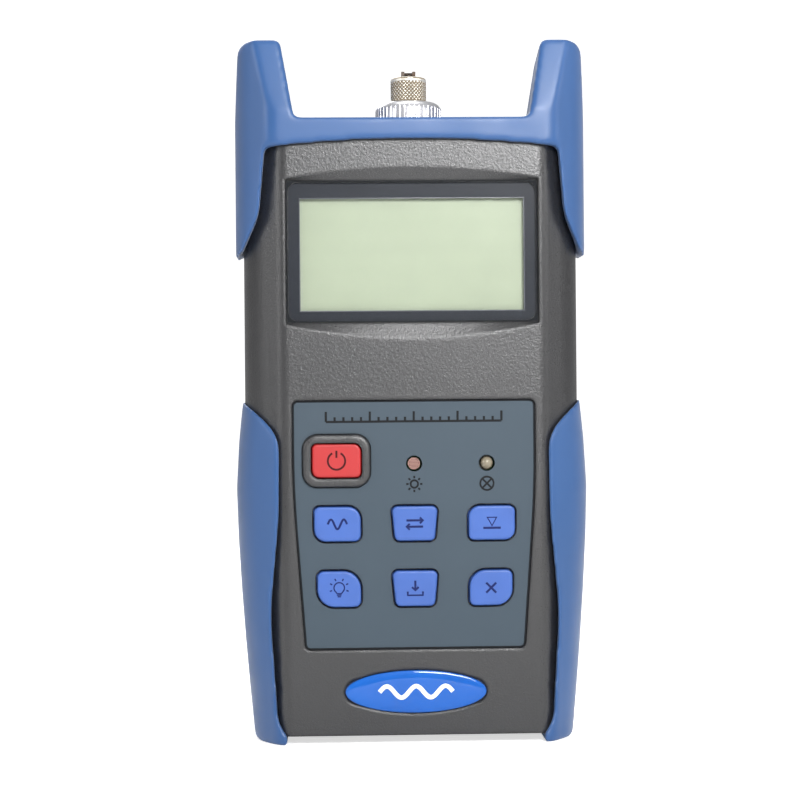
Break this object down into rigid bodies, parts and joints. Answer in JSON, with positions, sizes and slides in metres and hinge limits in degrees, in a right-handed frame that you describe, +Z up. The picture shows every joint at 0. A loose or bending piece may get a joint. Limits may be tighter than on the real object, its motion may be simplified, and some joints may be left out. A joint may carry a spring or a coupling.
{
  "type": "optical power meter",
  "caption": "Handheld optical power meter with a screw-capped fibre port between two bumper horns, a display window, a keypad and side grips.",
  "frame": {"origin": "centre of the bottom of the bounding box, on the plane of the two feet", "axes": "+Z up from the feet to the horns, +X to the reader's right, the front with the keypad faces -Y"},
  "size_m": [0.086, 0.037, 0.1685],
  "materials": {
    "shell_grey": "fine leather grain, warm dark grey",
    "bumper_blue": "soft-touch blue elastomer",
    "lens_clear": "clear acrylic with a black printed border",
    "inner_plastic": "black moulded",
    "crystal_cell": "grey-green liquid crystal cell",
    "light_guide": "white diffuser",
    "contact_rubber": "conductive elastomer strip",
    "panel_film": "satin blue-grey film",
    "key_red": "satin red",
    "key_blue": "satin light blue",
    "mat_rubber": "silicone",
    "lamp_clear": "water-clear dome",
    "sensor_ceramic": "lacquered ceramic disc with a zigzag track",
    "badge_blue": "glossy domed resin",
    "board_green": "solder mask",
    "chip_black": "moulded epoxy",
    "screw_steel": "zinc plated",
    "cell_jacket": "printed jacket, plain",
    "contact_steel": "nickel plated",
    "nickel": "nickel-plated brass",
    "cap_nickel": "knurled nickel-plated brass",
    "eye_dark": "dark burnished"
  },
  "bodies": {
    "case": {"front_shell": "shell_grey", "back_shell": "shell_grey", "top_bumper": "bumper_blue", "left_grip": "bumper_blue", "right_grip": "bumper_blue", "display_lens": "lens_clear", "display_frame": "inner_plastic", "display_glass": "crystal_cell", "backlight": "light_guide", "contact_strip": "contact_rubber", "panel_overlay": "panel_film", "keypad_mat": "mat_rubber", "indicator_lamp": "lamp_clear", "light_sensor": "sensor_ceramic", "badge": "badge_blue", "main_board": "board_green", "board_components": "chip_black", "case_screws": "screw_steel", "board_screws": "screw_steel", "battery_1": "cell_jacket", "battery_2": "cell_jacket", "battery_3": "cell_jacket", "battery_contacts": "contact_steel", "detector_housing": "nickel", "photodiode": "nickel", "adapter_sleeve": "nickel", "adapter_ring": "nickel"},
    "key_power": {"key_power": "key_red"},
    "key_wave": {"key_wave": "key_blue"},
    "key_units": {"key_units": "key_blue"},
    "key_reference": {"key_reference": "key_blue"},
    "key_light": {"key_light": "key_blue"},
    "key_save": {"key_save": "key_blue"},
    "key_delete": {"key_delete": "key_blue"},
    "battery_door": {"battery_door": "shell_grey"},
    "cap_eye": {"cap_eye": "eye_dark"},
    "dust_cap": {"dust_cap": "cap_nickel"}
  },
  "joints": [
    {"name": "power_press", "type": "slide", "parent": "case", "child": "key_power", "axis": [0, 1, 0], "range_m": [0, 0.0009], "stiffness_N_per_m": 1200},
    {"name": "wave_press", "type": "slide", "parent": "case", "child": "key_wave", "axis": [0, 1, 0], "range_m": [0, 0.0009], "stiffness_N_per_m": 1200},
    {"name": "units_press", "type": "slide", "parent": "case", "child": "key_units", "axis": [0, 1, 0], "range_m": [0, 0.0009], "stiffness_N_per_m": 1200},
    {"name": "reference_press", "type": "slide", "parent": "case", "child": "key_reference", "axis": [0, 1, 0], "range_m": [0, 0.0009], "stiffness_N_per_m": 1200},
    {"name": "light_press", "type": "slide", "parent": "case", "child": "key_light", "axis": [0, 1, 0], "range_m": [0, 0.0009], "stiffness_N_per_m": 1200},
    {"name": "save_press", "type": "slide", "parent": "case", "child": "key_save", "axis": [0, 1, 0], "range_m": [0, 0.0009], "stiffness_N_per_m": 1200},
    {"name": "delete_press", "type": "slide", "parent": "case", "child": "key_delete", "axis": [0, 1, 0], "range_m": [0, 0.0009], "stiffness_N_per_m": 1200},
    {"name": "door_open", "type": "hinge", "parent": "case", "child": "battery_door", "pos_m": [0, 0.0165, 0.0098], "axis": [-1, 0, 0], "range_deg": [0, 50]},
    {"name": "eye_rise", "type": "slide", "parent": "case", "child": "cap_eye", "axis": [0, 0, 1], "range_m": [0, 0.0045]},
    {"name": "cap_turn", "type": "hinge", "parent": "cap_eye", "child": "dust_cap", "pos_m": [0, 0, 0.1585], "axis": [0, 0, 1], "range_deg": [0, 2160]}
  ],
  "couplings": [
    {"joint": "cap_turn", "follows": "eye_rise", "rad_per_m": 8377.6}
  ]
}
